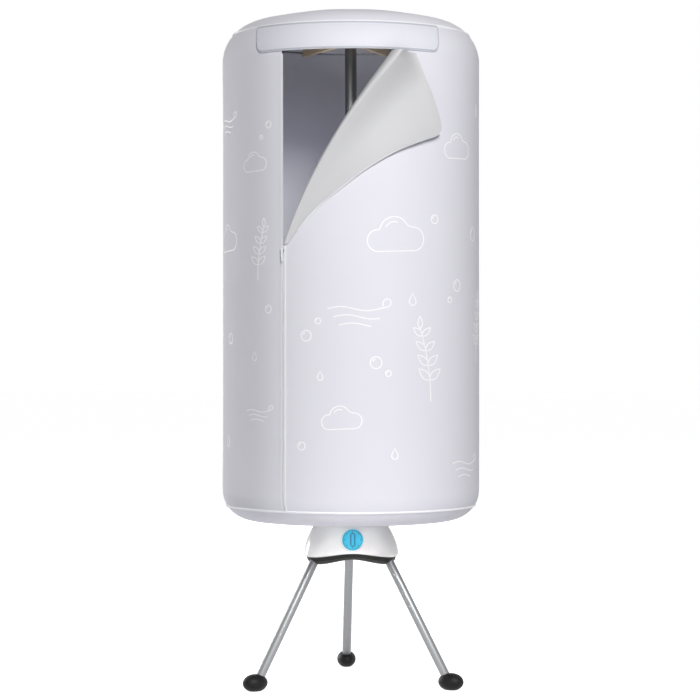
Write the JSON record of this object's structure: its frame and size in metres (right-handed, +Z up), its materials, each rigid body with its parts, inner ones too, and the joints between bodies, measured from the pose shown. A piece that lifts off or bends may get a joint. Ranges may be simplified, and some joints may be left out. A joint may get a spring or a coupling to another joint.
{
  "type": "portable clothes dryer",
  "caption": "Round fabric drying chamber with a zip door and folding hanger arms on a pole, over a fan heater that stands on a tripod.",
  "frame": {"origin": "on the floor under the pole, in the middle of the tripod", "axes": "+Z up the pole; the door and the dial face -Y; +X to the right of someone facing them"},
  "size_m": [0.552, 0.567, 1.441],
  "materials": {
    "cover_cloth": "smooth silver-white coated polyester",
    "piping_cord": "satin binding over a cord",
    "band_pvc": "soft satin band",
    "zip_nylon": "pale nylon coil",
    "white_abs": "glossy white moulding",
    "black_abs": "fine-textured black moulding",
    "blue_abs": "glossy translucent blue",
    "aluminium": "satin anodised tube",
    "steel": "plain steel",
    "rubber": "soft matt black",
    "grey_abs": "pale grey moulding",
    "beige_abs": "warm beige moulding",
    "ceramic": "bare heating ceramic"
  },
  "bodies": {
    "root": {"base_shell": "white_abs", "base_tray": "black_abs", "outlet_grille": "grey_abs", "pole_socket": "black_abs", "fan_motor": "steel", "motor_bracket": "steel", "bracket_screw_1": "steel", "bracket_screw_2": "steel", "bracket_screw_3": "steel", "heater_frame": "steel", "heater_block": "ceramic", "thermal_cutout": "ceramic", "timer_body": "black_abs", "dial_bezel": "white_abs", "cord_inlet": "black_abs", "leg_tube_front_left": "aluminium", "leg_tube_front_right": "aluminium", "leg_tube_rear": "aluminium", "foot_front_left": "rubber", "foot_front_right": "rubber", "foot_rear": "rubber", "pole_lower": "aluminium", "pole_middle": "aluminium", "pole_upper": "aluminium", "pole_coupler_lower": "black_abs", "pole_coupler_upper": "black_abs", "hanger_hub": "grey_abs", "hinge_wire_ring": "steel", "hub_cap": "grey_abs", "cover_top": "cover_cloth", "cover_back_panel": "cover_cloth", "cover_left_panel": "cover_cloth", "door_panel": "cover_cloth", "cover_bottom": "cover_cloth", "hem_cord": "cover_cloth", "piping_top": "piping_cord", "piping_bottom": "piping_cord", "hoop_top": "steel", "hoop_bottom": "steel", "name_band": "band_pvc", "zipper_left": "zip_nylon", "zipper_right": "zip_nylon", "zipper_flap_edge": "zip_nylon"},
    "fan": {"fan_impeller": "black_abs", "motor_shaft": "steel"},
    "dial": {"timer_dial": "blue_abs", "timer_shaft": "steel"},
    "zip_slider": {"zipper_slider": "steel"},
    "zip_pull": {"zipper_pull": "steel"},
    "arm_1": {"hanger_arm_1": "beige_abs"},
    "arm_2": {"hanger_arm_2": "beige_abs"},
    "arm_3": {"hanger_arm_3": "beige_abs"},
    "arm_4": {"hanger_arm_4": "beige_abs"},
    "arm_5": {"hanger_arm_5": "beige_abs"},
    "arm_6": {"hanger_arm_6": "beige_abs"},
    "arm_7": {"hanger_arm_7": "beige_abs"},
    "arm_8": {"hanger_arm_8": "beige_abs"}
  },
  "joints": [
    {"name": "fan_spin", "type": "hinge", "parent": "root", "child": "fan", "pos_m": [0, 0, 0.31], "axis": [0, 0, 1], "continuous": true},
    {"name": "dial_turn", "type": "hinge", "parent": "root", "child": "dial", "pos_m": [0, -0.08974, 0.314], "axis": [0, -0.9781, 0.2079], "range_deg": [-300, 0]},
    {"name": "zipper_slide", "type": "slide", "parent": "root", "child": "zip_slider", "axis": [0, 0, 1], "range_m": [-0.49, 0.385]},
    {"name": "pull_swing", "type": "hinge", "parent": "zip_slider", "child": "zip_pull", "pos_m": [-0.1508, -0.23579, 0.923], "axis": [-0.8425, 0.5388, 0], "range_deg": [0, 150]},
    {"name": "arm_1_fold", "type": "hinge", "parent": "root", "child": "arm_1", "pos_m": [0.01301, -0.03141, 1.39596], "axis": [0.9239, 0.3827, 0], "range_deg": [0, 78]},
    {"name": "arm_2_fold", "type": "hinge", "parent": "root", "child": "arm_2", "pos_m": [0.03141, -0.01301, 1.39596], "axis": [0.3827, 0.9239, 0], "range_deg": [0, 78]},
    {"name": "arm_3_fold", "type": "hinge", "parent": "root", "child": "arm_3", "pos_m": [0.03141, 0.01301, 1.39596], "axis": [-0.3827, 0.9239, 0], "range_deg": [0, 78]},
    {"name": "arm_4_fold", "type": "hinge", "parent": "root", "child": "arm_4", "pos_m": [0.01301, 0.03141, 1.39596], "axis": [-0.9239, 0.3827, 0], "range_deg": [0, 78]},
    {"name": "arm_5_fold", "type": "hinge", "parent": "root", "child": "arm_5", "pos_m": [-0.01301, 0.03141, 1.39596], "axis": [-0.9239, -0.3827, 0], "range_deg": [0, 78]},
    {"name": "arm_6_fold", "type": "hinge", "parent": "root", "child": "arm_6", "pos_m": [-0.03141, 0.01301, 1.39596], "axis": [-0.3827, -0.9239, 0], "range_deg": [0, 78]},
    {"name": "arm_7_fold", "type": "hinge", "parent": "root", "child": "arm_7", "pos_m": [-0.03141, -0.01301, 1.39596], "axis": [0.3827, -0.9239, 0], "range_deg": [0, 78]},
    {"name": "arm_8_fold", "type": "hinge", "parent": "root", "child": "arm_8", "pos_m": [-0.01301, -0.03141, 1.39596], "axis": [0.9239, -0.3827, 0], "range_deg": [0, 78]}
  ]
}
